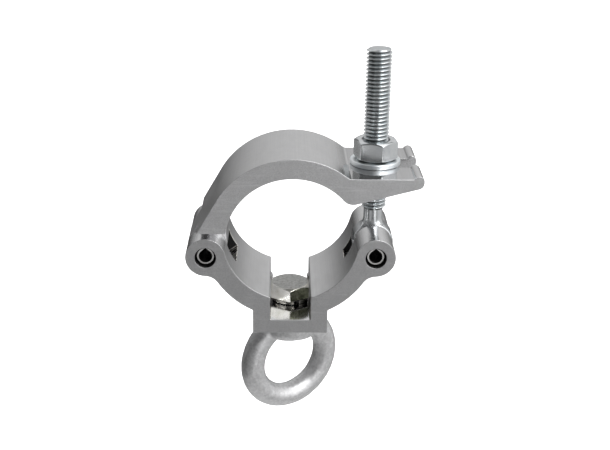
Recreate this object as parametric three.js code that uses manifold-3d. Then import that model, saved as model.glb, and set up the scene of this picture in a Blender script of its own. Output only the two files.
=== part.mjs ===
// Pipe clamp with a swing bolt and a hanging eye nut. Millimetres, +Z up.
// The origin is the centre of the tube seat, the round floor of the lower body, at half the clamp's width.
// +X points to the swing bolt, and the tube lies along Y.
import * as THREE from 'three';
import { mergeVertices } from 'three/addons/utils/BufferGeometryUtils.js';
import Module from 'manifold-3d';

const wasm = await Module();
wasm.setup();

// ---- Driving dimensions ----

const WIDTH = 41; // of the extruded body and jaw, along the tube
const SEAT_R = 26.5; // tube seat in the lower body
const WALL = 7.8; // of the body around the tube
const RUNNING_GAP = 0.3; // between a pin and what turns on it, and between neighbours
const REST_GAP = 0.05; // between faces that rest on each other

const PIN_DROP = deg(14.2); // the hinge pins lie this far below the seat's centre
const PIN_HOLE_R = 4.1;
const LUG_R = WALL;
const LUG_FILLET_R = 6;
const HINGE_SLOT_FLOOR = deg(34.5); // the floors of the two hinge slots lie on lines through the seat's centre
const JAW_SLOT = 17; // width of the slot for the jaw's tongue
const BOLT_SLOT = 9; // width of the slot for the swing bolt's eye
const FORK_SLOT = 11; // width of the jaw's fork, open at the nose

const FOOT_HALF = 14.85;
const FOOT_Z = -40.85;
const HEAD_SLOT_HALF = 8.1; // the slot that keeps the hanging bolt's head from turning
const HEAD_SLOT_FLOOR = -35.15;
const HEAD_SLOT_CORNER_R = 0.5;
const BOLT_CLEARANCE_R = 5.4;

const JAW_CENTRE = { x: 0.6, z: -2.1 };
const JAW_INNER_R = 26.15;
const JAW_OUTER_R = 33.95;
const TONGUE_R = 7.85;
const SHOULDER_Z = 1.55; // the jaw is cut back above the lugs here, on both sides of its tongue
const NOSE_SEAT_Z = 24.2; // the flat that the nut's washer presses on
const NOSE_BULGE_R = 5;
const NOSE_BULGE_ANGLE = deg(42.2);
const NOSE_TIP = { x: 48.05, z: 22.6, r: 2.4 };
const NOSE_LIP = { x: 48.45, z: 23.4, r: 2 };

const FORK_END_X = 27.2; // the closed, rounded end of the fork

const ROD_R = 4.7;
const ROD_TOP_Z = 70;
const ROD_CHAMFER = 1;
const THREAD_END_Z = 5.9;
const SHANK_R = 3.8;
const EYE_R = 8.3;
const EYE_FLARE_R = 5.2; // radius of the hollow between the shank and the eye

const HEX_FLATS = 15.6;
const NUT_HEIGHT = 8;
const NUT_TURN = deg(13.8);
const NUT_BORE_R = 5.05;
const WASHER_R = 10;
const WASHER_THICKNESS = 2;
const WASHER_BORE_R = 5.3;

const HEAD_HEIGHT = 5.6;
const HANGING_BOLT_LENGTH = 16;
const LOCK_WASHER_R = 7.6;
const LOCK_WASHER_THICKNESS = 1.9;
const LOCK_WASHER_SPLIT = 1.2;

const SPRING_PIN_RECESS = 1.9;
const SPRING_PIN_BORE_R = 2.7;
const SPRING_PIN_SPLIT = 2.4;
const SPRING_PIN_CHAMFER = 0.6;

const RING_R = 17.9; // of the eye nut, to the middle of its bar
const RING_BAR_R = 4.95;
const RING_CENTRE_Z = -62.85;
const RING_TURN = deg(31.5);
const COLLAR_R = 12.6;
const COLLAR_BOTTOM_Z = -50;
const COLLAR_ROUND_R = 2.5;

const ARC_STEPS = 20;
const ROUND_SIDES = 40;

// ---- Worked-out places ----

const PIN_RING_R = SEAT_R + WALL;
const PIN_X = PIN_RING_R * Math.cos(PIN_DROP);
const PIN_Z = -PIN_RING_R * Math.sin(PIN_DROP);
const EYE_THICKNESS = BOLT_SLOT - 2 * RUNNING_GAP;
const TONGUE_WIDTH = JAW_SLOT - 2 * RUNNING_GAP;
const WASHER_Z = NOSE_SEAT_Z + REST_GAP;
const NUT_Z = WASHER_Z + WASHER_THICKNESS + REST_GAP;
const LOCK_WASHER_Z = HEAD_SLOT_FLOOR + REST_GAP;
const HEAD_Z = LOCK_WASHER_Z + LOCK_WASHER_THICKNESS + REST_GAP;
const EYE_NUT_TOP_Z = FOOT_Z - REST_GAP;

// ---- Materials ----

const FINISHES = {
  extrusion: { color: 0xa9aaac, roughness: 0.45, metalness: 0.9 },
  zinc: { color: 0xc3c8cb, roughness: 0.25, metalness: 1 },
  galvanised: { color: 0xa6a8a9, roughness: 0.5, metalness: 0.9 },
  springSteel: { color: 0x6f7072, roughness: 0.35, metalness: 1 },
};

// ---- Geometry helpers ----

function deg(angle) {
  return (angle * Math.PI) / 180;
}

function toSolid(geometry) {
  const bare = geometry.clone();
  bare.deleteAttribute('normal');
  bare.deleteAttribute('uv');
  const merged = mergeVertices(bare, 1e-4);
  return new wasm.Manifold(
    new wasm.Mesh({
      numProp: 3,
      vertProperties: merged.attributes.position.array,
      triVerts: new Uint32Array(merged.index.array),
    }),
  );
}

function toGeometry(solid) {
  const mesh = solid.getMesh();
  const geometry = new THREE.BufferGeometry();
  geometry.setAttribute('position', new THREE.BufferAttribute(mesh.vertProperties, 3));
  geometry.setIndex(new THREE.BufferAttribute(mesh.triVerts, 1));
  geometry.computeVertexNormals();
  return geometry;
}

// A shape drawn in X and Z, extruded along Y about the middle of the clamp.
function slab(shape, width, curveSegments = ARC_STEPS) {
  const geometry = new THREE.ExtrudeGeometry(shape, { depth: width, bevelEnabled: false, curveSegments });
  geometry.rotateX(Math.PI / 2);
  geometry.translate(0, width / 2, 0);
  return toSolid(geometry);
}

function rodAlongY(radius, length, x, z, sides = ROUND_SIDES) {
  const geometry = new THREE.CylinderGeometry(radius, radius, length, sides);
  geometry.translate(x, 0, z);
  return toSolid(geometry);
}

function rodAlongZ(radius, zLow, zHigh, x = 0, sides = ROUND_SIDES) {
  const geometry = new THREE.CylinderGeometry(radius, radius, zHigh - zLow, sides);
  geometry.rotateX(Math.PI / 2);
  geometry.translate(x, 0, (zLow + zHigh) / 2);
  return toSolid(geometry);
}

// Turns a list of [radius, z] points about the vertical line at x.
function turned(points, x = 0, sides = ROUND_SIDES) {
  const outline = points.map(([r, z]) => new THREE.Vector2(r, z));
  const geometry = new THREE.LatheGeometry(outline, sides);
  geometry.rotateX(Math.PI / 2);
  geometry.translate(x, 0, 0);
  return toSolid(geometry);
}

function box(xSize, ySize, zSize, x, y, z) {
  const geometry = new THREE.BoxGeometry(xSize, ySize, zSize);
  geometry.translate(x, y, z);
  return toSolid(geometry);
}

// A hexagonal prism standing on zLow. A turn of zero puts two corners on the Y axis.
function hexPrism(flats, zLow, height, turn, x = 0) {
  const geometry = new THREE.CylinderGeometry(flats / Math.sqrt(3), flats / Math.sqrt(3), height, 6);
  geometry.rotateX(Math.PI / 2);
  geometry.rotateZ(turn);
  geometry.translate(x, 0, zLow + height / 2);
  return toSolid(geometry);
}

// The cone-ended drum that rounds a hexagon's corners off at one end or at both.
function chamferDrum(flats, zLow, zHigh, bottomToo, x = 0) {
  const corner = flats / Math.sqrt(3) + 1;
  const flatR = flats * 0.475;
  const drop = (corner - flatR) * Math.tan(deg(30));
  const bottom = bottomToo ? [[0, zLow], [flatR, zLow], [corner, zLow + drop]] : [[0, zLow], [corner, zLow]];
  return turned([...bottom, [corner, zHigh - drop], [flatR, zHigh], [0, zHigh]], x, 48);
}

function arcPoints(centreR, centreZ, radius, from, to, steps) {
  const points = [];
  for (let i = 0; i <= steps; i += 1) {
    const angle = from + ((to - from) * i) / steps;
    points.push([centreR + radius * Math.cos(angle), centreZ + radius * Math.sin(angle)]);
  }
  return points;
}

function part(name, solid, finish) {
  const mesh = new THREE.Mesh(toGeometry(solid), new THREE.MeshStandardMaterial(FINISHES[finish]));
  mesh.name = name;
  return mesh;
}

// ---- Lower body ----

// One half of the outline, from the head slot along the seat, round the lug and down to the foot.
// side is 1 on the right. On the left it is -1 and the same points are mirrored.
function bodyHalf(side) {
  const seatStart = -Math.acos(HEAD_SLOT_HALF / SEAT_R);
  const filletReach = PIN_RING_R + LUG_FILLET_R;
  const lugReach = LUG_R + LUG_FILLET_R;
  const filletSpread = Math.acos(
    (PIN_RING_R ** 2 + filletReach ** 2 - lugReach ** 2) / (2 * PIN_RING_R * filletReach),
  );
  const filletAngle = -PIN_DROP - filletSpread;
  const filletX = filletReach * Math.cos(filletAngle);
  const filletZ = filletReach * Math.sin(filletAngle);
  const lugToFillet = Math.atan2(filletZ - PIN_Z, filletX - PIN_X);
  const footAngle = -Math.acos(FOOT_HALF / PIN_RING_R);
  const path = new THREE.Path();
  path.moveTo(HEAD_SLOT_HALF - HEAD_SLOT_CORNER_R, HEAD_SLOT_FLOOR);
  path.absarc(
    HEAD_SLOT_HALF - HEAD_SLOT_CORNER_R,
    HEAD_SLOT_FLOOR + HEAD_SLOT_CORNER_R,
    HEAD_SLOT_CORNER_R,
    -Math.PI / 2,
    0,
    false,
  );
  path.absarc(0, 0, SEAT_R, seatStart, -PIN_DROP, false);
  path.absarc(PIN_X, PIN_Z, LUG_R, Math.PI - PIN_DROP, lugToFillet, true);
  path.absarc(filletX, filletZ, LUG_FILLET_R, lugToFillet + Math.PI, filletAngle + Math.PI, false);
  path.absarc(0, 0, PIN_RING_R, filletAngle, footAngle, true);
  path.lineTo(FOOT_HALF, FOOT_Z);
  return path.getPoints(ARC_STEPS).map((p) => new THREE.Vector2(side * p.x, p.y));
}

// Everything of a lug that stands above its slot's floor.
function hingeSlotOutline(side) {
  const inner = SEAT_R - 8;
  const outer = PIN_RING_R + 20;
  const top = PIN_Z + LUG_R + 3;
  const corners = [
    [inner * Math.cos(HINGE_SLOT_FLOOR), -inner * Math.sin(HINGE_SLOT_FLOOR)],
    [outer * Math.cos(HINGE_SLOT_FLOOR), -outer * Math.sin(HINGE_SLOT_FLOOR)],
    [outer, top],
    [inner, top],
  ];
  return new THREE.Shape(corners.map(([x, z]) => new THREE.Vector2(side * x, z)));
}

function lowerBody() {
  const outline = [...bodyHalf(1), ...bodyHalf(-1).reverse()];
  let body = slab(new THREE.Shape(outline), WIDTH);
  const slots = [[-1, JAW_SLOT], [1, BOLT_SLOT]];
  for (const [side, slotWidth] of slots) {
    body = body.subtract(slab(hingeSlotOutline(side), slotWidth));
    body = body.subtract(rodAlongY(PIN_HOLE_R, WIDTH + 2, side * PIN_X, PIN_Z));
  }
  return body.subtract(rodAlongZ(BOLT_CLEARANCE_R, FOOT_Z - 1, HEAD_SLOT_FLOOR + 1));
}

// ---- Upper jaw ----

function jawOutline() {
  const centre = JAW_CENTRE;
  const pin = { x: -PIN_X, z: PIN_Z };
  const toCentre = Math.atan2(centre.z - pin.z, centre.x - pin.x);
  const span = Math.hypot(centre.x - pin.x, centre.z - pin.z);
  const flank = toCentre + Math.asin((JAW_OUTER_R - TONGUE_R) / span);
  const seatAngle = Math.asin((NOSE_SEAT_Z - centre.z) / JAW_OUTER_R);
  const tongueInner = 2 * Math.PI - Math.acos((pin.x + TONGUE_R - centre.x) / JAW_INNER_R);
  const bulgeX = centre.x + (JAW_INNER_R + NOSE_BULGE_R) * Math.cos(NOSE_BULGE_ANGLE);
  const bulgeZ = centre.z + (JAW_INNER_R + NOSE_BULGE_R) * Math.sin(NOSE_BULGE_ANGLE);
  const noseRun = Math.hypot(NOSE_TIP.x - bulgeX, NOSE_TIP.z - bulgeZ);
  const underside =
    Math.atan2(NOSE_TIP.z - bulgeZ, NOSE_TIP.x - bulgeX) + Math.asin((NOSE_BULGE_R - NOSE_TIP.r) / noseRun);
  const down = underside - Math.PI / 2;
  const lipEnd = Math.PI - Math.asin((NOSE_SEAT_Z - NOSE_LIP.z) / NOSE_LIP.r);

  const shape = new THREE.Shape();
  shape.absarc(centre.x, centre.z, JAW_OUTER_R, seatAngle, flank + Math.PI / 2, false);
  shape.absarc(pin.x, pin.z, TONGUE_R, flank + Math.PI / 2, 2 * Math.PI, false);
  shape.absarc(centre.x, centre.z, JAW_INNER_R, tongueInner, NOSE_BULGE_ANGLE, true);
  shape.absarc(bulgeX, bulgeZ, NOSE_BULGE_R, NOSE_BULGE_ANGLE - Math.PI, down, false);
  shape.absarc(NOSE_TIP.x, NOSE_TIP.z, NOSE_TIP.r, down, 0, false);
  shape.absarc(NOSE_LIP.x, NOSE_LIP.z, NOSE_LIP.r, 0, lipEnd, false);
  shape.closePath();
  return shape;
}

function upperJaw() {
  let jaw = slab(jawOutline(), WIDTH);
  const cutDepth = (WIDTH - TONGUE_WIDTH) / 2 + 1;
  const cutHeight = 30;
  for (const side of [-1, 1]) {
    const y = side * (TONGUE_WIDTH / 2 + cutDepth / 2);
    jaw = jaw.subtract(box(40, cutDepth, cutHeight, -PIN_X - 5, y, SHOULDER_Z - cutHeight / 2));
  }
  const forkEnd = FORK_END_X + FORK_SLOT / 2;
  const fork = rodAlongZ(FORK_SLOT / 2, 0, 40, forkEnd).add(box(30, FORK_SLOT, 40, forkEnd + 15, 0, 20));
  return jaw.subtract(fork).subtract(rodAlongY(PIN_HOLE_R, WIDTH, -PIN_X, PIN_Z));
}

// ---- Hinge pins: rolled spring pins, split along the top ----

function springPin(side) {
  const outerR = PIN_HOLE_R - RUNNING_GAP;
  const half = WIDTH / 2 - SPRING_PIN_RECESS;
  const endR = outerR - SPRING_PIN_CHAMFER;
  const shoulder = half - 2 * SPRING_PIN_CHAMFER;
  const outline = [[0, -half], [endR, -half], [outerR, -shoulder], [outerR, shoulder], [endR, half], [0, half]];
  const points = outline.map(([r, y]) => new THREE.Vector2(r, y));
  const blank = new THREE.LatheGeometry(points, ROUND_SIDES);
  blank.translate(side * PIN_X, 0, PIN_Z);
  return toSolid(blank)
    .subtract(rodAlongY(SPRING_PIN_BORE_R, WIDTH, side * PIN_X, PIN_Z))
    .subtract(box(SPRING_PIN_SPLIT, WIDTH, outerR + 1, side * PIN_X, 0, PIN_Z + (outerR + 1) / 2));
}

// ---- Swing bolt ----

// The eye's flat outline with the hollows that run out into the shank.
function eyeOutline() {
  const reach = EYE_R + EYE_FLARE_R;
  const sideX = SHANK_R + EYE_FLARE_R;
  const lift = Math.sqrt(reach ** 2 - sideX ** 2);
  const toHollow = Math.atan2(lift, sideX);
  const shape = new THREE.Shape();
  shape.absarc(0, 0, EYE_R, Math.PI - toHollow, toHollow + 2 * Math.PI, false);
  shape.absarc(sideX, lift, EYE_FLARE_R, toHollow + Math.PI, Math.PI, true);
  shape.absarc(-sideX, lift, EYE_FLARE_R, 0, -toHollow, true);
  shape.closePath();
  return { shape, neckHeight: lift };
}

function swingBolt() {
  const { shape, neckHeight } = eyeOutline();
  const geometry = new THREE.ExtrudeGeometry(shape, {
    depth: EYE_THICKNESS,
    bevelEnabled: false,
    curveSegments: ARC_STEPS,
  });
  geometry.rotateX(Math.PI / 2);
  geometry.translate(PIN_X, EYE_THICKNESS / 2, PIN_Z);
  const neck = turned(
    [
      [0, PIN_Z],
      [EYE_R + 0.5, PIN_Z],
      [EYE_R + 0.5, PIN_Z + EYE_R * 0.4],
      ...arcPoints(SHANK_R + EYE_FLARE_R, PIN_Z + neckHeight, EYE_FLARE_R, deg(218), Math.PI, 10),
      [0, PIN_Z + neckHeight],
    ],
    PIN_X,
  );
  const ball = new THREE.SphereGeometry(EYE_R + 0.6, 40, 20);
  ball.translate(PIN_X, 0, PIN_Z);
  const head = toSolid(geometry).intersect(toSolid(ball).add(neck));
  const rod = turned(
    [
      [0, PIN_Z + EYE_R * 0.6],
      [SHANK_R, PIN_Z + EYE_R * 0.6],
      [SHANK_R, THREAD_END_Z - ROD_CHAMFER],
      [ROD_R, THREAD_END_Z],
      [ROD_R, ROD_TOP_Z - ROD_CHAMFER],
      [ROD_R - ROD_CHAMFER, ROD_TOP_Z],
      [0, ROD_TOP_Z],
    ],
    PIN_X,
  );
  return head.add(rod).subtract(rodAlongY(PIN_HOLE_R, WIDTH, PIN_X, PIN_Z));
}

// ---- Nut and washer ----

function clampNut() {
  return hexPrism(HEX_FLATS, NUT_Z, NUT_HEIGHT, NUT_TURN, PIN_X)
    .intersect(chamferDrum(HEX_FLATS, NUT_Z, NUT_Z + NUT_HEIGHT, true, PIN_X))
    .subtract(rodAlongZ(NUT_BORE_R, NUT_Z - 1, NUT_Z + NUT_HEIGHT + 1, PIN_X));
}

function nutWasher() {
  return rodAlongZ(WASHER_R, WASHER_Z, WASHER_Z + WASHER_THICKNESS, PIN_X, 56).subtract(
    rodAlongZ(WASHER_BORE_R, WASHER_Z - 1, WASHER_Z + WASHER_THICKNESS + 1, PIN_X),
  );
}

// ---- Hanging bolt, its lock washer and the eye nut ----

function hangingBolt() {
  const head = hexPrism(HEX_FLATS, HEAD_Z, HEAD_HEIGHT, 0).intersect(
    chamferDrum(HEX_FLATS, HEAD_Z, HEAD_Z + HEAD_HEIGHT, false),
  );
  const tip = HEAD_Z - HANGING_BOLT_LENGTH;
  const shank = turned([
    [0, tip],
    [ROD_R - ROD_CHAMFER, tip],
    [ROD_R, tip + ROD_CHAMFER],
    [ROD_R, HEAD_Z + 1],
    [0, HEAD_Z + 1],
  ]);
  return head.add(shank);
}

function lockWasher() {
  const top = LOCK_WASHER_Z + LOCK_WASHER_THICKNESS;
  return rodAlongZ(LOCK_WASHER_R, LOCK_WASHER_Z, top)
    .subtract(rodAlongZ(WASHER_BORE_R, LOCK_WASHER_Z - 1, top + 1))
    .subtract(box(LOCK_WASHER_R + 1, LOCK_WASHER_SPLIT, 10, (LOCK_WASHER_R + 1) / 2, 0, LOCK_WASHER_Z));
}

function eyeNut() {
  const ring = new THREE.TorusGeometry(RING_R, RING_BAR_R, 24, 56);
  ring.rotateX(Math.PI / 2);
  ring.rotateZ(RING_TURN);
  ring.translate(0, 0, RING_CENTRE_Z);
  const roundR = COLLAR_R - COLLAR_ROUND_R;
  const roundZ = COLLAR_BOTTOM_Z + COLLAR_ROUND_R;
  const collar = turned([
    [0, COLLAR_BOTTOM_Z],
    ...arcPoints(roundR, roundZ, COLLAR_ROUND_R, -Math.PI / 2, 0, 6),
    [COLLAR_R, EYE_NUT_TOP_Z],
    [0, EYE_NUT_TOP_Z],
  ]);
  const above = box(60, 60, 10, 0, 0, EYE_NUT_TOP_Z + 5);
  return toSolid(ring)
    .subtract(above)
    .add(collar)
    .subtract(rodAlongZ(NUT_BORE_R, COLLAR_BOTTOM_Z - 5, EYE_NUT_TOP_Z + 1));
}

// ---- Assembly ----

const clamp = new THREE.Group();
clamp.add(
  part('lower_body', lowerBody(), 'extrusion'),
  part('upper_jaw', upperJaw(), 'extrusion'),
  part('jaw_pin', springPin(-1), 'springSteel'),
  part('bolt_pin', springPin(1), 'springSteel'),
  part('swing_bolt', swingBolt(), 'zinc'),
  part('nut_washer', nutWasher(), 'zinc'),
  part('clamp_nut', clampNut(), 'zinc'),
  part('hanging_bolt', hangingBolt(), 'zinc'),
  part('lock_washer', lockWasher(), 'springSteel'),
  part('eye_nut', eyeNut(), 'galvanised'),
);

export default clamp;
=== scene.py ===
import math

import bmesh
import bpy
from mathutils import Matrix, Vector, noise


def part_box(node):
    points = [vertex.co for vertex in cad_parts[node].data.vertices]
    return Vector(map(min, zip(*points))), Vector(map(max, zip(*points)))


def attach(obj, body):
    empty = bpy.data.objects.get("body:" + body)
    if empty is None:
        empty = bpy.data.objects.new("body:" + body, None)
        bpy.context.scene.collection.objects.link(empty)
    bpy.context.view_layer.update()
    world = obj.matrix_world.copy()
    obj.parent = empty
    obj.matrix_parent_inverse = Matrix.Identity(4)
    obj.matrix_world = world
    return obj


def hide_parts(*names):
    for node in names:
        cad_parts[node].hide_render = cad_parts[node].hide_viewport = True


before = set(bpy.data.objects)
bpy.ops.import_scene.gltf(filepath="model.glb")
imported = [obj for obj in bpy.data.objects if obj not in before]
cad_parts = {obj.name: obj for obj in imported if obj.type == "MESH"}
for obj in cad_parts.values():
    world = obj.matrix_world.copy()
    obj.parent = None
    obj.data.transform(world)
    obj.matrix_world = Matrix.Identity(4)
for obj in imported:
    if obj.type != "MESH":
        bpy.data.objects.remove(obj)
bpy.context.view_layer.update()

# Sizes are in millimetres until a mesh is made. The origin is the centre of the tube seat,
# X points to the swing bolt, Y lies along the tube and Z is up.
# Where a function takes a side, -1 is the jaw's hinge and 1 is the swing bolt's.
MM = 0.001
PI = math.pi

# ---- Driving dimensions, as in the CAD ----

WIDTH = 41.0
SEAT_R = 26.5
WALL = 7.8
PIN_RING_R = SEAT_R + WALL
PIN_DROP = math.radians(14.2)
PIN_HOLE_R = 4.1
PIN_X = PIN_RING_R * math.cos(PIN_DROP)
PIN_Z = -PIN_RING_R * math.sin(PIN_DROP)
LUG_R = WALL
LUG_FILLET_R = 6.0
HINGE_SLOT_FLOOR = math.radians(34.5)
JAW_SLOT = 17.0
BOLT_SLOT = 9.0
FORK_SLOT = 11.0
FORK_END_X = 27.2

FOOT_HALF = 14.85
FOOT_Z = -40.85
HEAD_SLOT_HALF = 8.1
HEAD_SLOT_FLOOR = -35.15
HEAD_SLOT_CORNER_R = 0.5
BOLT_CLEARANCE_R = 5.4

JAW_X, JAW_Z = 0.6, -2.1
JAW_INNER_R = 26.15
JAW_OUTER_R = 33.95
TONGUE_R = 7.85
SHOULDER_Z = 1.55
NOSE_SEAT_Z = 24.2
NOSE_BULGE_R = 5.0
NOSE_BULGE_ANGLE = math.radians(42.2)
NOSE_TIP_X, NOSE_TIP_Z, NOSE_TIP_R = 48.05, 22.6, 2.4
NOSE_LIP_X, NOSE_LIP_Z, NOSE_LIP_R = 48.45, 23.4, 2.0

SHANK_R = 3.8
EYE_R = 8.3
EYE_FLARE_R = 5.2
HEX_FLATS = 15.6
NUT_TURN = math.radians(13.8)
WASHER_R = 10.0
WASHER_BORE_R = 5.3
LOCK_WASHER_R = 7.6
HEAD_Z = HEAD_SLOT_FLOOR + 2.0
RING_R = 17.9
RING_BAR_R = 4.95
RING_CENTRE_Z = -62.85
RING_TURN = math.radians(31.5)
COLLAR_R = 12.6
COLLAR_BOTTOM_Z = -50.0

# ---- Dimensions of what only the visual has ----

THREAD_PITCH = 1.5
THREAD_START_Z = 5.4
ROOT_SHADE_R = 4.3
EXTRUSION_EDGE = 0.22
STAKE_SIZE = (1.0, 1.6, 1.9)
STAKE_Y = 7.5


def span(node, axis):
    """A CAD node's lowest and highest coordinate along an axis."""
    low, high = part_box(node)
    return low[axis] / MM, high[axis] / MM


# ---- Mesh helpers ----

def arc(x, z, r, start, end, steps):
    """Points along an arc about (x, z), from one angle to another."""
    points = []
    for i in range(steps + 1):
        angle = start + (end - start) * i / steps
        points.append((x + r * math.cos(angle), z + r * math.sin(angle)))
    return points


def eased(before, corner, after, reach, steps=4):
    """A rounded corner between the points before and after it."""
    a, p, b = Vector(before), Vector(corner), Vector(after)
    start = p + (a - p).normalized() * reach
    end = p + (b - p).normalized() * reach
    points = []
    for i in range(steps + 1):
        t = i / steps
        q = start * (1 - t) ** 2 + p * 2 * t * (1 - t) + end * t ** 2
        points.append((q.x, q.y))
    return points


def new_object(name, verts, faces):
    mesh = bpy.data.meshes.new(name)
    mesh.from_pydata([(x * MM, y * MM, z * MM) for x, y, z in verts], [], faces)
    bm = bmesh.new()
    bm.from_mesh(mesh)
    bmesh.ops.remove_doubles(bm, verts=bm.verts, dist=1e-7)
    bmesh.ops.recalc_face_normals(bm, faces=bm.faces)
    bm.to_mesh(mesh)
    bm.free()
    obj = bpy.data.objects.new(name, mesh)
    bpy.context.scene.collection.objects.link(obj)
    return obj


def drop_slivers(obj):
    """Removes edges and faces of no size."""
    bm = bmesh.new()
    bm.from_mesh(obj.data)
    bmesh.ops.dissolve_degenerate(bm, edges=bm.edges, dist=1e-7)
    bmesh.ops.recalc_face_normals(bm, faces=bm.faces)
    bm.to_mesh(obj.data)
    bm.free()
    return obj


def loft(name, rings, capped=True):
    """A skin through rings with the same number of points, closed at both ends if capped."""
    n = len(rings[0])
    last = n * (len(rings) - 1)
    faces = []
    if capped:
        faces += [list(range(n)), list(range(last + n - 1, last - 1, -1))]
    for row in range(0, last, n):
        for i in range(n):
            k = (i + 1) % n
            faces.append([row + i, row + k, row + n + k, row + n + i])
    return new_object(name, [point for ring in rings for point in ring], faces)


def prism(name, outline, y_low, y_high):
    """An outline in X and Z, extruded along Y."""
    return loft(name, [[(x, y, z) for x, z in outline] for y in (y_low, y_high)])


def column(name, outline, low, high):
    """An outline in X and Y, extruded along Z."""
    return loft(name, [[(x, y, z) for x, y in outline] for z in (low, high)])


def turned(name, points, sides=64):
    """(radius, height) points turned about Z, with closed ends unless the points make a loop."""
    angles = [2 * PI * j / sides for j in range(sides)]
    rings = [[(r * math.cos(a), r * math.sin(a), z) for a in angles] for r, z in points]
    return drop_slivers(loft(name, rings, capped=points[0] != points[-1]))


def moved(obj, x=0.0, y=0.0, z=0.0, turn=0.0, lay=False):
    """Turns obj about Z, or lays its Z axis along Y, then shifts it."""
    matrix = Matrix.Translation(Vector((x, y, z)) * MM)
    if lay:
        matrix = matrix @ Matrix.Rotation(PI / 2, 4, "X")
    obj.data.transform(matrix @ Matrix.Rotation(turn, 4, "Z"))
    return obj


def rod_y(name, r, x, z):
    """A cylinder along Y, a little longer than the clamp is wide."""
    half = WIDTH / 2 + 2
    return moved(turned(name, [(r, -half), (r, half)]), x, 0, z, lay=True)


def apply_modifiers(obj):
    bpy.context.view_layer.update()
    graph = bpy.context.evaluated_depsgraph_get()
    mesh = bpy.data.meshes.new_from_object(obj.evaluated_get(graph))
    obj.modifiers.clear()
    old = obj.data
    obj.data = mesh
    bpy.data.meshes.remove(old)
    return obj


def combine(obj, *others, how="DIFFERENCE"):
    """Cuts the others from obj one after another, or joins or intersects them with it."""
    for other in others:
        modifier = obj.modifiers.new("combine", "BOOLEAN")
        modifier.object = other
        modifier.operation = how
        modifier.solver = "EXACT"
        apply_modifiers(obj)
        bpy.data.objects.remove(other)
    return obj


def bevel(obj, width, angle=35, segments=2):
    """Breaks the edges sharper than angle degrees by width millimetres."""
    modifier = obj.modifiers.new("edges", "BEVEL")
    modifier.width = width * MM
    modifier.segments = segments
    modifier.limit_method = "ANGLE"
    modifier.angle_limit = math.radians(angle)
    modifier.use_clamp_overlap = False
    modifier.miter_outer = "MITER_ARC"
    return apply_modifiers(obj)


def shade(obj):
    """Smooth shading, with the edges over 50 degrees kept crisp."""
    obj.data.shade_smooth()
    obj.data.set_sharp_from_angle(angle=math.radians(50))
    weighted = obj.modifiers.new("shading", "WEIGHTED_NORMAL")
    weighted.keep_sharp = True
    return obj


def assign(obj, *materials, pick=None):
    """Gives each face the material that pick(face centre in mm, face normal) returns, or the first."""
    obj.data.materials.clear()
    for material in materials:
        obj.data.materials.append(material)
    for polygon in obj.data.polygons:
        picked = pick(polygon.center / MM, polygon.normal) if pick else materials[0]
        polygon.material_index = materials.index(picked)


def place(obj, body, node):
    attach(obj, body)
    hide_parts(node)


# ---- Materials ----

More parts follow.
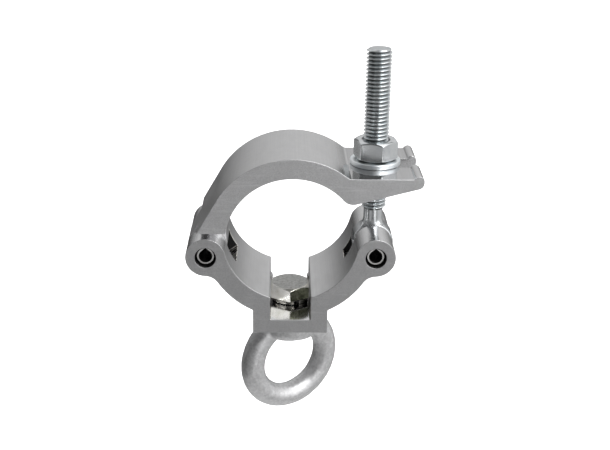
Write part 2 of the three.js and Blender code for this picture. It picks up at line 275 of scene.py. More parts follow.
class Shader:
    """A node material with one Principled shader, and short calls for the nodes that feed it."""

    def __init__(self, name, color, roughness, metallic=1.0):
        self.material = bpy.data.materials.new(name)
        self.material.use_nodes = True
        self.tree = self.material.node_tree
        self.shader = self.tree.nodes["Principled BSDF"]
        self.shader.inputs["Base Color"].default_value = (*color, 1)
        self.shader.inputs["Roughness"].default_value = roughness
        self.shader.inputs["Metallic"].default_value = metallic
        self.coords = self.tree.nodes.new("ShaderNodeTexCoord").outputs["Object"]
        self.bumps = None

    def link(self, a, b):
        self.tree.links.new(a, b)

    def noise(self, scale, stretch=(1, 1, 1), detail=3.0, rough=0.6, distortion=0.0):
        """Noise with scale features a metre, stretched along an axis by a factor below 1."""
        mapping = self.tree.nodes.new("ShaderNodeMapping")
        mapping.inputs["Scale"].default_value = stretch
        self.link(self.coords, mapping.inputs["Vector"])
        node = self.tree.nodes.new("ShaderNodeTexNoise")
        node.inputs["Scale"].default_value = scale
        node.inputs["Detail"].default_value = detail
        node.inputs["Roughness"].default_value = rough
        node.inputs["Distortion"].default_value = distortion
        self.link(mapping.outputs["Vector"], node.inputs["Vector"])
        return node.outputs["Fac"]

    def spread(self, value, low, high, to_low, to_high):
        """Maps the range from low to high onto the range from to_low to to_high."""
        node = self.tree.nodes.new("ShaderNodeMapRange")
        node.inputs["From Min"].default_value = low
        node.inputs["From Max"].default_value = high
        node.inputs["To Min"].default_value = to_low
        node.inputs["To Max"].default_value = to_high
        self.link(value, node.inputs["Value"])
        return node.outputs["Result"]

    def ramp(self, value, stops):
        """Turns a value into a colour, by (position, colour) stops."""
        node = self.tree.nodes.new("ShaderNodeValToRGB")
        while len(node.color_ramp.elements) < len(stops):
            node.color_ramp.elements.new(0.5)
        for element, (position, color) in zip(node.color_ramp.elements, stops):
            element.position = position
            element.color = (*color, 1)
        self.link(value, node.inputs["Fac"])
        return node.outputs["Color"]

    def mix(self, factor, a, b):
        """Mixes two colours, each a tuple or a node's output."""
        node = self.tree.nodes.new("ShaderNodeMix")
        node.data_type = "RGBA"
        self.link(factor, node.inputs[0])
        for socket, value in ((node.inputs[6], a), (node.inputs[7], b)):
            if isinstance(value, tuple):
                socket.default_value = (*value, 1)
            else:
                self.link(value, socket)
        return node.outputs[2]

    def coordinate(self, axis):
        node = self.tree.nodes.new("ShaderNodeSeparateXYZ")
        self.link(self.coords, node.inputs[0])
        return node.outputs[axis]

    def product(self, a, b):
        node = self.tree.nodes.new("ShaderNodeMath")
        node.operation = "MULTIPLY"
        self.link(a, node.inputs[0])
        self.link(b, node.inputs[1])
        return node.outputs[0]

    def color(self, output):
        self.link(output, self.shader.inputs["Base Color"])

    def roughness(self, output):
        self.link(output, self.shader.inputs["Roughness"])

    def bump(self, height, strength, distance):
        """Adds a bump of distance millimetres on top of the bumps so far."""
        node = self.tree.nodes.new("ShaderNodeBump")
        node.inputs["Strength"].default_value = strength
        node.inputs["Distance"].default_value = distance * MM
        self.link(height, node.inputs["Height"])
        if self.bumps is not None:
            self.link(self.bumps, node.inputs["Normal"])
        self.bumps = node.outputs["Normal"]
        self.link(self.bumps, self.shader.inputs["Normal"])


def grey(level):
    """The faintly cool grey of aluminium."""
    return level, level, level * 1.01


def sawn_aluminium(name, level):
    """The cut end faces: fine matte grain, with shallow scratches across it."""
    s = Shader(name, (level, level, level), 0.5)
    grain = s.noise(2600, detail=2.0, rough=0.7)
    cloud = s.noise(160, detail=3.0)
    lines = s.noise(900, stretch=(0.06, 1, 1), detail=2.0)
    saw = s.noise(420, stretch=(0.12, 1, 1.6), detail=3.0, rough=0.65, distortion=0.4)
    base = s.ramp(grain, [(0.3, grey(level * 0.82)), (0.5, grey(level)), (0.72, grey(level * 1.18))])
    base = s.mix(s.spread(cloud, 0.35, 0.65, 0.0, 0.3), base, grey(level * 0.85))
    base = s.mix(s.spread(saw, 0.55, 0.75, 0.0, 0.5), base, grey(level * 1.28))
    s.color(base)
    s.roughness(s.spread(grain, 0.3, 0.7, 0.44, 0.6))
    s.bump(lines, 0.25, 0.02)
    s.bump(grain, 0.5, 0.02)
    return s.material


def extruded_aluminium(name, polished_from=None):
    """The as-extruded skin, with die lines along Y. It may turn glossy past an X in millimetres."""
    s = Shader(name, (0.7, 0.7, 0.71), 0.36)
    lines = s.noise(1500, stretch=(1, 0.012, 1), detail=4.0, rough=0.7)
    cloud = s.noise(120, stretch=(1, 0.5, 1), detail=4.0)
    base = s.ramp(lines, [(0.25, (0.64, 0.64, 0.645)), (0.75, (0.71, 0.71, 0.715))])
    base = s.mix(s.spread(cloud, 0.35, 0.7, 0.0, 0.5), base, (0.57, 0.57, 0.57))
    s.color(base)
    roughness = s.spread(cloud, 0.3, 0.7, 0.3, 0.42)
    if polished_from is not None:
        start, end = polished_from * MM, (polished_from + 3) * MM
        roughness = s.product(roughness, s.spread(s.coordinate("X"), start, end, 1.0, 0.3))
    s.roughness(roughness)
    s.bump(lines, 0.15, 0.01)
    s.bump(s.noise(2200, detail=2.0), 0.2, 0.008)
    return s.material


def machined_aluminium(name, roughness, level):
    """A milled face, bright, with fine tool lines along Y."""
    s = Shader(name, (level, level, level), roughness)
    lines = s.noise(1800, stretch=(1, 0.03, 1), detail=3.0, rough=0.7)
    s.color(s.ramp(lines, [(0.3, grey(level * 0.93)), (0.7, grey(level * 1.05))]))
    s.roughness(s.spread(lines, 0.3, 0.7, roughness * 0.85, roughness * 1.3))
    s.bump(lines, 0.08, 0.004)
    return s.material


def milled_cheeks():
    """The walls and floors of the hinge slots, with coarse slanted cutter marks."""
    s = Shader("milled_cheeks", (0.5, 0.49, 0.47), 0.3)
    marks = s.noise(520, stretch=(1, 1, 0.3), detail=2.0, rough=0.6, distortion=0.8)
    dark, dull, bright = (0.07, 0.065, 0.06), (0.35, 0.34, 0.31), (0.9, 0.88, 0.83)
    s.color(s.ramp(marks, [(0.3, dark), (0.42, dull), (0.52, bright)]))
    s.roughness(s.spread(marks, 0.3, 0.7, 0.2, 0.4))
    s.bump(marks, 0.6, 0.05)
    return s.material


def zinc(name, color, roughness, patch, texture):
    """Zinc plate in two shades, with a texture of fine bumps."""
    s = Shader(name, color, roughness)
    patches = s.noise(260, detail=3.0)
    fine = s.noise(1700, detail=3.0)
    s.color(s.mix(s.spread(patches, 0.4, 0.65, 0.0, 1.0), color, patch))
    s.roughness(s.spread(fine, 0.3, 0.7, roughness * 0.85, roughness * 1.2))
    s.bump(fine, texture, 0.006)
    return s.material


def rough_zinc():
    """The cold-formed top of a bolt head."""
    s = Shader("rough_zinc", (0.4, 0.4, 0.39), 0.42)
    pits = s.noise(900, detail=4.0, rough=0.75)
    dark, middle, pale = (0.2, 0.2, 0.19), (0.42, 0.42, 0.41), (0.56, 0.56, 0.55)
    s.color(s.ramp(pits, [(0.32, dark), (0.5, middle), (0.7, pale)]))
    s.roughness(s.spread(pits, 0.3, 0.7, 0.34, 0.55))
    s.bump(pits, 0.6, 0.06)
    return s.material


def galvanised():
    """A hot-dipped forging: fine mottling, small bumps and a dull sheen."""
    s = Shader("galvanised", (0.62, 0.62, 0.63), 0.4)
    mottle = s.noise(900, detail=5.0, rough=0.7)
    cloud = s.noise(150, detail=3.0)
    flecks = s.noise(2400, detail=2.0, rough=0.7)
    dark, middle, pale = (0.56, 0.56, 0.565), (0.68, 0.68, 0.685), (0.84, 0.84, 0.845)
    base = s.ramp(mottle, [(0.33, dark), (0.5, middle), (0.68, pale)])
    base = s.mix(s.spread(cloud, 0.4, 0.65, 0.0, 0.3), base, (0.58, 0.585, 0.59))
    s.color(base)
    s.roughness(s.spread(mottle, 0.3, 0.7, 0.42, 0.56))
    s.bump(s.noise(420, detail=3.0), 0.25, 0.06)
    s.bump(flecks, 0.45, 0.03)
    return s.material


def spring_steel(name, color, roughness):
    """Rolled steel, with faint streaks along Y."""
    s = Shader(name, color, roughness)
    streaks = s.noise(1500, stretch=(1, 0.2, 1), detail=3.0)
    darker = tuple(c * 0.75 for c in color)
    lighter = tuple(min(1, c * 1.25) for c in color)
    s.color(s.mix(streaks, darker, lighter))
    s.roughness(s.spread(streaks, 0.3, 0.7, roughness * 0.8, roughness * 1.3))
    s.bump(streaks, 0.2, 0.01)
    return s.material


BODY_END = sawn_aluminium("sawn_body_end", 0.5)
JAW_END = sawn_aluminium("sawn_jaw_end", 0.6)
EXTRUDED = extruded_aluminium("extruded_aluminium")
JAW_SKIN = extruded_aluminium("extruded_jaw_skin", polished_from=17.5)
SEAT = machined_aluminium("machined_seat", 0.09, 0.54)
FLOOR = machined_aluminium("machined_slot_floor", 0.12, 0.8)
CHEEK = milled_cheeks()
POLISHED = machined_aluminium("polished_lug", 0.2, 0.75)
ZINC = zinc("zinc_plate", (0.74, 0.76, 0.77), 0.22, (0.68, 0.7, 0.72), 0.08)
ZINC_WASHER = zinc("zinc_washer", (0.9, 0.93, 0.94), 0.34, (0.82, 0.88, 0.92), 0.03)
ZINC_THREAD = zinc("zinc_thread", (0.74, 0.76, 0.77), 0.22, (0.66, 0.7, 0.72), 0.02)
ZINC_HEAD = zinc("zinc_head", (0.84, 0.83, 0.79), 0.2, (0.7, 0.69, 0.62), 0.08)
# Painted shade: a darker copy of the zinc for the nut's left face.
ZINC_NUT_PAINTED_SHADE = zinc("zinc_nut_painted_shade", (0.36, 0.37, 0.37), 0.26, (0.3, 0.31, 0.31), 0.08)
# Painted shade: a dark olive copy of the zinc for the bolt head's side faces toward +X; ZINC_HEAD,
# lighter and warmer, is the lit copy on its other side faces.
HEAD_PAINTED_SHADE = zinc("bolt_head_painted_shade", (0.27, 0.275, 0.21), 0.24, (0.13, 0.14, 0.09), 0.08)
ZINC_IN_SHADE = zinc("zinc_in_shade", (0.2, 0.21, 0.21), 0.3, (0.14, 0.15, 0.15), 0.08)
# Painted shade: near black for the walls of the lower body's pin holes, using the spring steel recipe.
PIN_HOLE_PAINTED_SHADE = spring_steel("pin_hole_painted_shade", (0.05, 0.05, 0.05), 0.5)
ROUGH_ZINC = rough_zinc()
GALVANISED = galvanised()
SPRING = spring_steel("rolled_spring_steel", (0.85, 0.84, 0.81), 0.42)
# Painted shade: near black for the spring pins' bore, outside and leads, which leaves only their end
# faces bare.
SPRING_PAINTED_SHADE = spring_steel("spring_pin_painted_shade", (0.02, 0.02, 0.02), 0.5)
LOCK = spring_steel("lock_washer_steel", (0.3, 0.29, 0.26), 0.25)


# ---- Lower body ----

def body_half(side):
    """From the head slot's floor, up its wall, along the seat, round the lug and down to the foot."""
    reach = PIN_RING_R + LUG_FILLET_R
    lug_reach = LUG_R + LUG_FILLET_R
    cosine = (PIN_RING_R ** 2 + reach ** 2 - lug_reach ** 2) / (2 * PIN_RING_R * reach)
    angle = -PIN_DROP - math.acos(cosine)
    fillet_x, fillet_z = reach * math.cos(angle), reach * math.sin(angle)
    to_fillet = math.atan2(fillet_z - PIN_Z, fillet_x - PIN_X)
    foot_angle = -math.acos(FOOT_HALF / PIN_RING_R)
    seat = arc(0, 0, SEAT_R, -math.acos(HEAD_SLOT_HALF / SEAT_R), -PIN_DROP, 44)
    corner_x = HEAD_SLOT_HALF - HEAD_SLOT_CORNER_R
    corner_z = HEAD_SLOT_FLOOR + HEAD_SLOT_CORNER_R
    points = arc(corner_x, corner_z, HEAD_SLOT_CORNER_R, -PI / 2, 0, 4)
    points += eased((HEAD_SLOT_HALF, corner_z), seat[0], seat[1], reach=0.55)
    points += seat[1:]
    points += arc(PIN_X, PIN_Z, LUG_R, PI - PIN_DROP, to_fillet, 56)[1:]
    points += arc(fillet_x, fillet_z, LUG_FILLET_R, to_fillet + PI, angle + PI, 8)[1:]
    points += arc(0, 0, PIN_RING_R, angle, foot_angle, 26)[1:]
    points += eased((FOOT_HALF, FOOT_Z + 5), (FOOT_HALF, FOOT_Z), (0, FOOT_Z), reach=0.4, steps=3)
    return [(side * x, z) for x, z in points]


def hinge_slot(side, width):
    """A cutter for a lug's slot, whose floor is on a line through the seat's centre."""
    inner, outer, top = SEAT_R - 8, PIN_RING_R + 20, PIN_Z + LUG_R + 3
    run, fall = math.cos(HINGE_SLOT_FLOOR), -math.sin(HINGE_SLOT_FLOOR)
    corners = [(inner * run, inner * fall), (outer * run, outer * fall), (outer, top), (inner, top)]
    return prism("cutter", [(side * x, z) for x, z in corners], -width / 2, width / 2)


def stake(side):
    """A small lump on the head slot's wall, behind the hanging bolt's head."""
    lump = turned("stake", arc(0, 0, 1, -PI / 2, PI / 2, 12), 24)
    lump.data.transform(Matrix.Diagonal((*STAKE_SIZE, 1)))
    head_top = span("hanging_bolt", 2)[1]
    return moved(lump, side * HEAD_SLOT_HALF, STAKE_Y, head_top - 1.0)


def lower_body():
    body = prism("body_extrusion", body_half(1) + body_half(-1)[::-1], -WIDTH / 2, WIDTH / 2)
    for side, width in ((-1, JAW_SLOT), (1, BOLT_SLOT)):
        combine(body, hinge_slot(side, width), rod_y("cutter", PIN_HOLE_R, side * PIN_X, PIN_Z))
    clearance = [(BOLT_CLEARANCE_R, FOOT_Z - 1), (BOLT_CLEARANCE_R, HEAD_SLOT_FLOOR + 1)]
    combine(body, turned("cutter", clearance, 48))
    for side in (-1, 1):
        combine(body, stake(side), how="UNION")
    shade(bevel(body, EXTRUSION_EDGE))

    lug_start, polish_start = 12, PIN_X - 7.3

    def pick(centre, normal):
        x, y, z = centre
        from_pin = math.hypot(abs(x) - PIN_X, z - PIN_Z)
        slot_half = (JAW_SLOT if x < 0 else BOLT_SLOT) / 2
        slope = math.atan2(-z, abs(x))
        in_lug = abs(x) > lug_start
        if abs(y) > WIDTH / 2 - 0.1:
            return BODY_END
        # The pin holes' walls are painted near black, painted shade.
        if from_pin < PIN_HOLE_R + 0.05:
            return PIN_HOLE_PAINTED_SHADE
        if in_lug and abs(y) < slot_half + 0.3 and abs(normal.y) > 0.7:
            return CHEEK
        if in_lug and abs(y) < slot_half and abs(slope - HINGE_SLOT_FLOOR) < 0.01 and normal.z > 0.7:
            return CHEEK
        if abs(x) < HEAD_SLOT_HALF + 0.1 and abs(z - HEAD_SLOT_FLOOR) < 0.4:
            return FLOOR
        if from_pin < LUG_R + 0.05 and z > PIN_Z and abs(x) > polish_start:
            return POLISHED
        return EXTRUDED

    assign(body, BODY_END, EXTRUDED, FLOOR, CHEEK, POLISHED, PIN_HOLE_PAINTED_SHADE, pick=pick)
    place(body, "base", "lower_body")


# ---- Upper jaw ----

def jaw_outline():
    """From the nose's seat over the arch, round the tongue, back along the bore and round the nose."""
    to_centre = math.atan2(JAW_Z - PIN_Z, JAW_X + PIN_X)
    distance = math.hypot(JAW_X + PIN_X, JAW_Z - PIN_Z)
    flank = to_centre + math.asin((JAW_OUTER_R - TONGUE_R) / distance)
    seat_angle = math.asin((NOSE_SEAT_Z - JAW_Z) / JAW_OUTER_R)
    tongue_inner = 2 * PI - math.acos((TONGUE_R - PIN_X - JAW_X) / JAW_INNER_R)
    bulge_x = JAW_X + (JAW_INNER_R + NOSE_BULGE_R) * math.cos(NOSE_BULGE_ANGLE)
    bulge_z = JAW_Z + (JAW_INNER_R + NOSE_BULGE_R) * math.sin(NOSE_BULGE_ANGLE)
    run = math.hypot(NOSE_TIP_X - bulge_x, NOSE_TIP_Z - bulge_z)
    rise = math.atan2(NOSE_TIP_Z - bulge_z, NOSE_TIP_X - bulge_x)
    down = rise + math.asin((NOSE_BULGE_R - NOSE_TIP_R) / run) - PI / 2
    lip_end = PI - math.asin((NOSE_SEAT_Z - NOSE_LIP_Z) / NOSE_LIP_R)
    outer = arc(JAW_X, JAW_Z, JAW_OUTER_R, seat_angle, flank + PI / 2, 72)
    points = eased((outer[0][0] + 4, NOSE_SEAT_Z), outer[0], outer[1], reach=0.7)
    points += outer[1:]
    points += arc(-PIN_X, PIN_Z, TONGUE_R, flank + PI / 2, 2 * PI, 44)
    points += arc(JAW_X, JAW_Z, JAW_INNER_R, tongue_inner, NOSE_BULGE_ANGLE, 96)
    points += arc(bulge_x, bulge_z, NOSE_BULGE_R, NOSE_BULGE_ANGLE - PI, down, 18)[1:]
    points += arc(NOSE_TIP_X, NOSE_TIP_Z, NOSE_TIP_R, down, 0, 16)
    points += arc(NOSE_LIP_X, NOSE_LIP_Z, NOSE_LIP_R, 0, lip_end, 20)
    return points


def fork_cutter():
    """The nose's slot, with a round end, running out past the tip and through the nose's height."""
    r, steps = FORK_SLOT / 2, 24
    plan = []
    for i in range(steps + 1):
        a = PI * i / steps
        plan.append((FORK_END_X + r - r * math.sin(a), r * math.cos(a)))
    plan += [(60, -r), (60, r)]
    return column("cutter", plan, 5, 35)


def upper_jaw():
    jaw = prism("jaw_extrusion", jaw_outline(), -WIDTH / 2, WIDTH / 2)
    tongue_half = JAW_SLOT / 2 - 0.25
    beside_tongue = [(-60, SHOULDER_Z), (-60, -30), (-18, -30), (-18, SHOULDER_Z)]
    for side in (-1, 1):
        near, far = sorted((side * tongue_half, side * (WIDTH / 2 + 1)))
        combine(jaw, prism("cutter", beside_tongue, near, far))
    combine(jaw, fork_cutter(), rod_y("cutter", PIN_HOLE_R, -PIN_X, PIN_Z))
    shade(bevel(jaw, EXTRUSION_EDGE))

    seat_start, fork_start, tongue_end = 22.3, 26, -15

    def pick(centre, normal):
        x, y, z = centre
        if abs(y) > WIDTH / 2 - 0.1:
            return JAW_END
        if x > seat_start and abs(z - NOSE_SEAT_Z) < 0.15 and normal.z > 0.9:
            return SEAT
        if x > fork_start and abs(y) < FORK_SLOT / 2 + 0.05 and abs(normal.z) < 0.3:
            return POLISHED
        if x < tongue_end and z < SHOULDER_Z + 0.2 and (abs(normal.y) > 0.7 or normal.z < -0.95):
            return POLISHED
        return JAW_SKIN

    assign(jaw, JAW_END, JAW_SKIN, SEAT, POLISHED, pick=pick)
    place(jaw, "jaw", "upper_jaw")


# ---- Hinge pins ----

def spring_pin(node, side):
    """A rolled pin: a tube split along its top, with a tapered lead at both ends.

    Its bore is round, but drawn up to a peak under the split."""
    outer, bore, peak, gap = PIN_HOLE_R - 0.28, 2.65, 3.55, math.radians(6)
    flat = math.acos(bore / peak)
    steps, taper, lead, thinnest = 60, 0.55, 0.9, 0.1
    low, high = span(node, 1)
    stations = [(low, outer - taper), (low + lead, outer), (high - lead, outer), (high, outer - taper)]
    rings = []
    for y, rim in stations:
        outside, inside = [], []
        for i in range(steps + 1):
            a = PI / 2 + gap + (2 * PI - 2 * gap) * i / steps
            from_top = abs(PI - abs((a - PI / 2) % (2 * PI) - PI))
            wall = bore / math.cos(flat - from_top) if from_top < flat else bore
            r = min(wall, rim - thinnest)
            outside.append((rim * math.cos(a), y, rim * math.sin(a)))
            inside.append((r * math.cos(a), y, r * math.sin(a)))
        rings.append(outside + inside[::-1])
    pin = shade(moved(loft(node + "_roll", rings), side * PIN_X, 0, PIN_Z))

    def pick(centre, normal):
        # Only the end faces show the bare steel; the rest of the pin is painted near black, painted
        # shade.
        return SPRING if abs(normal.y) > 0.95 else SPRING_PAINTED_SHADE

    assign(pin, SPRING, SPRING_PAINTED_SHADE, pick=pick)
    place(pin, "base", node)


# ---- Threads ----

# The thread's profile along one pitch, upwards: where, and how much of the depth is cut away there.
# The crest is rolled round, the flanks are straight and the root is flat.
PROFILE = [
    (0.0, 0.02), (0.05, 0.0), (0.1, 0.03), (0.16, 0.12), (0.22, 0.28),
    (0.42, 1.0), (0.55, 1.0), (0.68, 1.0),
    (0.88, 0.28), (0.94, 0.12), (1.0, 0.02),
]


def thread_radius(phase, crest, depth):
    """The radius at a phase of the profile, counted in pitches."""
    phase %= 1.0
    for (a, cut_a), (b, cut_b) in zip(PROFILE, PROFILE[1:]):
        if phase <= b:
            return crest - depth * (cut_a + (cut_b - cut_a) * (phase - a) / (b - a))


def threaded_rod(name, crest, depth, low, high, core=0.0, run_out=0.0, chamfer=0.0):
    """A threaded rod whose rows of points follow the helix, so that its crests stay clean.

    The thread fades to the core's radius over run_out above low, and a chamfer cuts it at high."""
    sides = 72
    corners = [phase for phase, cut in PROFILE[:-1]]
    turns = math.ceil((high - low) / THREAD_PITCH) + 2
    phases = [turn + corner for turn in range(turns) for corner in corners] + [turns]
    rows = len(phases)
    verts, faces = [], []
    for phase in phases:
        for j in range(sides):
            a = 2 * PI * j / sides
            z = min(max(low + THREAD_PITCH * (phase - 1 + j / sides), low), high)
            r = thread_radius((z - low) / THREAD_PITCH + 1 - j / sides, crest, depth)
            if run_out:
                r = core + (r - core) * min(1.0, (z - low) / run_out)
            if chamfer:
                r = min(r, crest - chamfer + (high - z) * 0.9)
            verts.append((r * math.cos(a), r * math.sin(a), z))
    for i in range(rows - 1):
        for j in range(sides):
            k = (j + 1) % sides
            step_up = len(corners) if k == 0 else 0
            near_row, far_row = min(i + step_up, rows - 1), min(i + 1 + step_up, rows - 1)
            faces.append([i * sides + j, near_row * sides + k, far_row * sides + k, (i + 1) * sides + j])
    faces.append(list(range(sides - 1, -1, -1)))
    faces.append([(rows - 1) * sides + j for j in range(sides)])
    rod = drop_slivers(new_object(name, verts, faces))
    rod.data.shade_smooth()
    rod.data.set_sharp_from_angle(angle=math.radians(38))
    return rod


# ---- Swing bolt ----

def swing_bolt_forging():
    """The eye round the pin and the shank above it, joined by a hollow flare."""
    side_x = SHANK_R + EYE_FLARE_R
    lift = math.sqrt((EYE_R + EYE_FLARE_R) ** 2 - side_x ** 2)
    hollow = math.atan2(lift, side_x)
    half = BOLT_SLOT / 2 - 0.3
    outline = arc(0, 0, EYE_R, PI - hollow, hollow + 2 * PI, 72)
    outline += arc(side_x, lift, EYE_FLARE_R, hollow + PI, PI, 12)[1:]
    outline += arc(-side_x, lift, EYE_FLARE_R, 0, -hollow, 12)[:-1]
    eye = prism("swing_bolt_forging", outline, -half, half)
    neck = [(0, 0), (EYE_R + 0.5, 0), (EYE_R + 0.5, EYE_R * 0.4)]
    neck += arc(side_x, lift, EYE_FLARE_R, math.radians(218), PI, 12)
    neck += [(0, lift)]
    ball = [(max(0.0, r), z) for r, z in arc(0, 0, EYE_R + 0.6, -PI / 2, PI / 2, 24)]
    envelope = combine(turned("cutter", ball), turned("cutter", neck), how="UNION")
    combine(eye, envelope, how="INTERSECT")
    shank_top = THREAD_START_Z + 0.2 - PIN_Z
    shank = [(SHANK_R, EYE_R * 0.6), (SHANK_R, shank_top), (0, shank_top)]
    combine(eye, turned("cutter", shank), how="UNION")
    moved(eye, PIN_X, 0, PIN_Z)
    combine(eye, rod_y("cutter", PIN_HOLE_R, PIN_X, PIN_Z))
    shade(bevel(eye, width=0.25, angle=40))
    assign(eye, ZINC)
    place(eye, "bolt", "swing_bolt")


def swing_bolt_thread():
    top = span("swing_bolt", 2)[1]
    crest, depth, run_out, chamfer = 5.0, 0.92, 1.2, 0.7
    rod = threaded_rod("swing_bolt_thread", crest, depth, THREAD_START_Z, top, SHANK_R, run_out, chamfer)
    moved(rod, PIN_X)

    def pick(centre, normal):
        in_root = math.hypot(centre.x - PIN_X, centre.y) < ROOT_SHADE_R
        return ZINC_IN_SHADE if in_root and centre.z < top - 0.4 else ZINC_THREAD

    assign(rod, ZINC_THREAD, ZINC_IN_SHADE, pick=pick)
    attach(rod, "bolt")


# ---- Nut and washer ----

def hex_blank(name, low, high, turn, chamfered_below):
    """A hexagonal prism with its corners rounded off at the top, and below too if asked."""
    corner = HEX_FLATS / math.sqrt(3)
    angles = [turn + PI / 2 + PI * i / 3 for i in range(6)]
    blank = column(name, [(corner * math.cos(a), corner * math.sin(a)) for a in angles], low, high)
    flat_r, wide = HEX_FLATS * 0.475, corner + 1
    drop = (wide - flat_r) * math.tan(math.radians(30))
    lower = [(flat_r, low), (wide, low + drop)] if chamfered_below else [(wide, low - 0.01)]
    drum = [(0, lower[0][1]), *lower, (wide, high - drop), (flat_r, high), (0, high)]
    return combine(blank, turned("cutter", drum, 96), how="INTERSECT")


def clamp_nut():
    low, high = span("clamp_nut", 2)
    nut = hex_blank("nut_hexagon", low, high, NUT_TURN, chamfered_below=True)
    thread_r, mouth_r = 5.04, 5.5
    bore = [(0, low - 1), (6.5, low - 1), (mouth_r, low + 0.05), (thread_r, low + 0.55)]
    bore += [(thread_r, high - 0.55), (mouth_r, high - 0.05), (6.5, high + 1), (0, high + 1)]
    combine(nut, turned("cutter", bore))
    shade(bevel(nut, width=0.4, angle=25, segments=3))
    moved(nut, PIN_X)

    def pick(centre, normal):
        if normal.z < -0.3:
            return ZINC_IN_SHADE
        # The nut's left face gets the darker copy of the zinc, painted shade.
        return ZINC_NUT_PAINTED_SHADE if normal.x < -0.95 else ZINC

    assign(nut, ZINC, ZINC_NUT_PAINTED_SHADE, ZINC_IN_SHADE, pick=pick)
    place(nut, "nut", "clamp_nut")


def nut_washer():
    """A flat washer with a rounded rim. It reaches 0.03 mm below the CAD's, down toward the seat."""
    low, high = span("nut_washer", 2)
    low -= 0.03
    rim = 0.45
    section = [(WASHER_BORE_R, low + 0.15), (WASHER_BORE_R + 0.15, low)]
    section += arc(WASHER_R - rim, low + rim, rim, -PI / 2, 0, 5)
    section += arc(WASHER_R - rim, high - rim, rim, 0, PI / 2, 5)
    section += [(WASHER_BORE_R + 0.2, high), (WASHER_BORE_R, high - 0.2), (WASHER_BORE_R, low + 0.15)]
    washer = shade(moved(turned("washer_ring", section, 128), PIN_X))
    assign(washer, ZINC_WASHER)
    place(washer, "washer", "nut_washer")


# ---- Hanging bolt and its lock washer ----

def hanging_bolt():
    tip, high = span("hanging_bolt", 2)
    head = hex_blank("bolt_head", HEAD_Z, high, turn=0, chamfered_below=False)
    shade(bevel(head, width=0.2, angle=25))

    def pick(centre, normal):
        if normal.z > 0.95:
            return ROUGH_ZINC
        # The head's side faces toward +X are painted dark, painted shade; the other side faces get the
        # lit copy.
        return HEAD_PAINTED_SHADE if normal.x > 0.3 and abs(normal.z) < 0.3 else ZINC_HEAD

    assign(head, ZINC_HEAD, ROUGH_ZINC, HEAD_PAINTED_SHADE, pick=pick)
    place(head, "base", "hanging_bolt")
    shank = threaded_rod("bolt_shank", crest=4.9, depth=0.9, low=tip, high=HEAD_Z + 0.2)
    assign(shank, ZINC_THREAD)
    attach(shank, "base")


def lock_washer():
    """A split ring, one end of which stands a little higher than the other."""
    low, high = span("lock_washer", 2)
    outer, bore, lead = LOCK_WASHER_R, WASHER_BORE_R, 0.35
    start, end, steps = math.radians(9), math.radians(351), 96
    thick = high - low - lead
    # Radius, and height as a share of the thickness.
    section = [(bore, 0.1), (bore + 0.1, 0), (outer - 0.15, 0), (outer, 0.15)]
    section += [(outer, 0.85), (outer - 0.15, 1), (bore + 0.1, 1), (bore, 0.9)]
    rings = []
    for i in range(steps + 1):
        a = start + (end - start) * i / steps
        base = low + lead * i / steps
        rings.append([(r * math.cos(a), r * math.sin(a), base + share * thick) for r, share in section])
    ring = shade(moved(loft("lock_ring", rings), turn=math.radians(-70)))
    assign(ring, LOCK)
    place(ring, "base", "lock_washer")


# ---- Eye nut ----

def eye_ring(name):
    """A round bar bent into a ring, with the forging's ridge along its inside."""
    around, bars = 128, 36
    ridge_height, ridge_width = 0.22, 0.12
    verts, faces = [], []
    for i in range(around):
        a = 2 * PI * i / around
        for j in range(bars):
            b = 2 * PI * j / bars
            bar = RING_BAR_R
            if math.cos(b) < 0:
                bar += ridge_height * math.exp(-((math.sin(b) / ridge_width) ** 2))
            r = RING_R + bar * math.cos(b)
            verts.append((r * math.cos(a), bar * math.sin(b), RING_CENTRE_Z + r * math.sin(a)))
    for i in range(around):
        for j in range(bars):
            p, q = (i + 1) % around, (j + 1) % bars
            faces.append([i * bars + j, p * bars + j, p * bars + q, i * bars + q])
    return moved(new_object(name, verts, faces), turn=RING_TURN)


def eye_nut():
    top = span("eye_nut", 2)[1]
    ring = eye_ring("eye_nut_forging")
    collar = [(0, COLLAR_BOTTOM_Z), (10.1, COLLAR_BOTTOM_Z), (11.3, -49.7), (12.2, -48.7)]
    collar += [(COLLAR_R, -47.4), (COLLAR_R, top - 0.4), (12.2, top), (0, top)]
    combine(ring, turned("cutter", collar, 96), how="UNION")
    above = [(-40, top), (40, top), (40, top + 20), (-40, top + 20)]
    combine(ring, prism("cutter", above, -40, 40))
    remesh = ring.modifiers.new("remesh", "REMESH")
    remesh.mode = "VOXEL"
    remesh.voxel_size = 0.45 * MM
    apply_modifiers(ring)
    smooth = ring.modifiers.new("smooth", "SMOOTH")
    smooth.factor = 0.5
    smooth.iterations = 6
    apply_modifiers(ring)
    pitting, features = 0.1 * MM, 0.35
    shifts = []
    for vertex in ring.data.vertices:
        shifts.append(vertex.normal * noise.fractal(vertex.co / MM * features, 1.0, 2.0, 3) * pitting)
    for vertex, shift in zip(ring.data.vertices, shifts):
        if vertex.co.z / MM < top - 0.6:
            vertex.co += shift
    ring.data.shade_smooth()
    assign(ring, GALVANISED)
    place(ring, "eye", "eye_nut")


lower_body()
upper_jaw()
spring_pin("jaw_pin", -1)
spring_pin("bolt_pin", 1)
swing_bolt_forging()
swing_bolt_thread()
clamp_nut()
nut_washer()
hanging_bolt()
lock_washer()
eye_nut()


# ---- Floor, light and camera ----

FLOOR_Z = -140
FLOOR_HALF = 9000

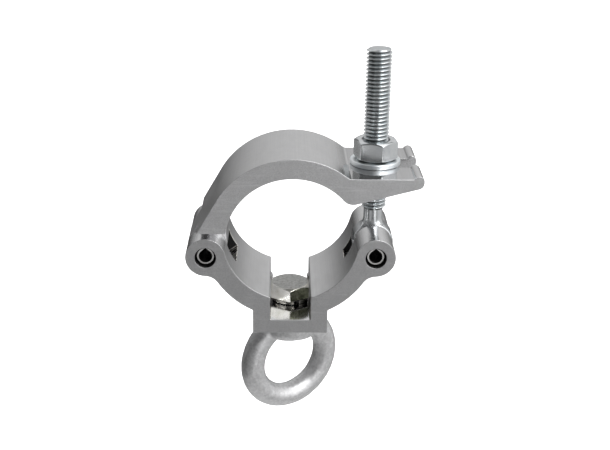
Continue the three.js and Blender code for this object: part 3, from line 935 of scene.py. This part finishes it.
# Patches of the studio: azimuth (0 is the camera's side, 90 is +X), elevation, the radius of the
# full patch and the radius where it ends, all in degrees, and its level, below 0 for a dark card.
STUDIO_BASE = 0.35
STUDIO_DARKEST = 0.02
STUDIO = [
    (0, -90, 20, 60, 0.6),
    (180, 50, 28, 66, 0.58),
    (-165, -12, 15, 45, -0.25),
    (80, 68, 18, 23, 1.8),
    (163, 67.5, 4.5, 7, 2.6),
    (-178, 69.5, 3, 5.5, -1.0),
    (60, 25, 18, 38, 1.5),
    (90, 0, 25, 55, 0.4),
    (-80, -20, 12, 24, -0.4),
    (-60, 35, 25, 55, -0.14),
    (22, -15, 10, 14, 1.1),
    (-1, -15, 6, 9, -0.35),
    (24, 7, 5, 9, 2.0),
    (-33, -17, 6, 14, 0.2),
    (-15, 35, 8, 22, -0.25),
]

# The background's own colour is a grey of 0.8, so this level shows the camera plain white.
WHITE_LEVEL = 1.25


def plain_floor():
    """A pale floor, clear when it is seen from below."""
    corners = [(-1, -1), (1, -1), (1, 1), (-1, 1)]
    verts = [(x * FLOOR_HALF, y * FLOOR_HALF, FLOOR_Z) for x, y in corners]
    floor = new_object("floor", verts, [[0, 1, 2, 3]])
    material = bpy.data.materials.new("pale_floor")
    material.use_nodes = True
    tree = material.node_tree
    shader = tree.nodes["Principled BSDF"]
    shader.inputs["Base Color"].default_value = (0.9, 0.9, 0.9, 1)
    shader.inputs["Roughness"].default_value = 0.9
    shader.inputs["Emission Color"].default_value = (1, 1, 1, 1)
    shader.inputs["Emission Strength"].default_value = 1.0
    from_below = tree.nodes.new("ShaderNodeNewGeometry").outputs["Backfacing"]
    clear = tree.nodes.new("ShaderNodeBsdfTransparent")
    mix = tree.nodes.new("ShaderNodeMixShader")
    tree.links.new(from_below, mix.inputs[0])
    tree.links.new(shader.outputs[0], mix.inputs[1])
    tree.links.new(clear.outputs[0], mix.inputs[2])
    tree.links.new(mix.outputs[0], tree.nodes["Material Output"].inputs["Surface"])
    floor.data.materials.append(material)
    floor.visible_glossy = False
    floor.visible_diffuse = False


def direction(azimuth, elevation):
    """A unit vector. The azimuth runs from the camera's side, -Y, toward +X. Both are in radians."""
    level = math.cos(elevation)
    return Vector((math.sin(azimuth) * level, -math.cos(azimuth) * level, math.sin(elevation)))


def studio_world():
    """The sum of the studio's patches, for everything but the camera, which sees plain white."""
    world = bpy.data.worlds.new("studio")
    bpy.context.scene.world = world
    world.use_nodes = True
    tree = world.node_tree
    tree.nodes.clear()

    def calc(operation, a, b):
        node = tree.nodes.new("ShaderNodeMath")
        node.operation = operation
        for socket, value in zip(node.inputs, (a, b)):
            if isinstance(value, bpy.types.NodeSocket):
                tree.links.new(value, socket)
            else:
                socket.default_value = value
        return node.outputs[0]

    coords = tree.nodes.new("ShaderNodeTexCoord").outputs["Generated"]

    def patch(azimuth, elevation, inner, outer, level):
        dot = tree.nodes.new("ShaderNodeVectorMath")
        dot.operation = "DOT_PRODUCT"
        tree.links.new(coords, dot.inputs[0])
        dot.inputs[1].default_value = direction(math.radians(azimuth), math.radians(elevation))
        fade = tree.nodes.new("ShaderNodeMapRange")
        fade.interpolation_type = "SMOOTHSTEP"
        fade.inputs["From Min"].default_value = math.cos(math.radians(outer))
        fade.inputs["From Max"].default_value = math.cos(math.radians(inner))
        fade.inputs["To Min"].default_value = 0.0
        fade.inputs["To Max"].default_value = level
        tree.links.new(dot.outputs["Value"], fade.inputs["Value"])
        return fade.outputs["Result"]

    total = STUDIO_BASE
    for values in STUDIO:
        total = calc("ADD", patch(*values), total)
    total = calc("MAXIMUM", total, STUDIO_DARKEST)
    is_camera = tree.nodes.new("ShaderNodeLightPath").outputs["Is Camera Ray"]
    lighting = calc("MULTIPLY", total, calc("SUBTRACT", 1.0, is_camera))
    level = calc("ADD", lighting, calc("MULTIPLY", is_camera, WHITE_LEVEL))
    background = tree.nodes.new("ShaderNodeBackground")
    tree.links.new(level, background.inputs["Strength"])
    output = tree.nodes.new("ShaderNodeOutputWorld")
    tree.links.new(background.outputs[0], output.inputs["Surface"])


def softbox(name, place_at, aim, size, power):
    """A square area light, in metres and watts."""
    light = bpy.data.lights.new(name, "AREA")
    light.energy = power
    light.size = size
    obj = bpy.data.objects.new(name, light)
    at = Vector(place_at)
    turn = (at - Vector(aim)).to_track_quat("Z", "Y").to_matrix().to_4x4()
    obj.matrix_world = Matrix.Translation(at) @ turn
    bpy.context.scene.collection.objects.link(obj)


def camera(azimuth, elevation, roll, aim, distance, lens):
    """The photograph's view: angles in degrees, aim and distance in millimetres."""
    back = direction(math.radians(azimuth), math.radians(elevation))
    level_right = (-back).cross(Vector((0, 0, 1))).normalized()
    level_up = level_right.cross(-back)
    cosine, sine = math.cos(math.radians(roll)), math.sin(math.radians(roll))
    right = cosine * level_right + sine * level_up
    up = cosine * level_up - sine * level_right
    data = bpy.data.cameras.new("camera")
    data.lens = lens
    data.sensor_width = 36
    data.clip_start = 0.01
    obj = bpy.data.objects.new("camera", data)
    place_at = (Vector(aim) + back * distance) * MM
    obj.matrix_world = Matrix.Translation(place_at) @ Matrix((right, up, back)).transposed().to_4x4()
    bpy.context.scene.collection.objects.link(obj)
    bpy.context.scene.camera = obj


plain_floor()
studio_world()
softbox("key", place_at=(0.17, -0.24, 0.23), aim=(0.02, 0, 0), size=0.15, power=0.6)
camera(-1.516, 21.638, 0.888, aim=(5.864, 0, -2.505), distance=409.1, lens=59.51)
bpy.context.scene.view_settings.view_transform = "Standard"

bpy.context.view_layer.update()
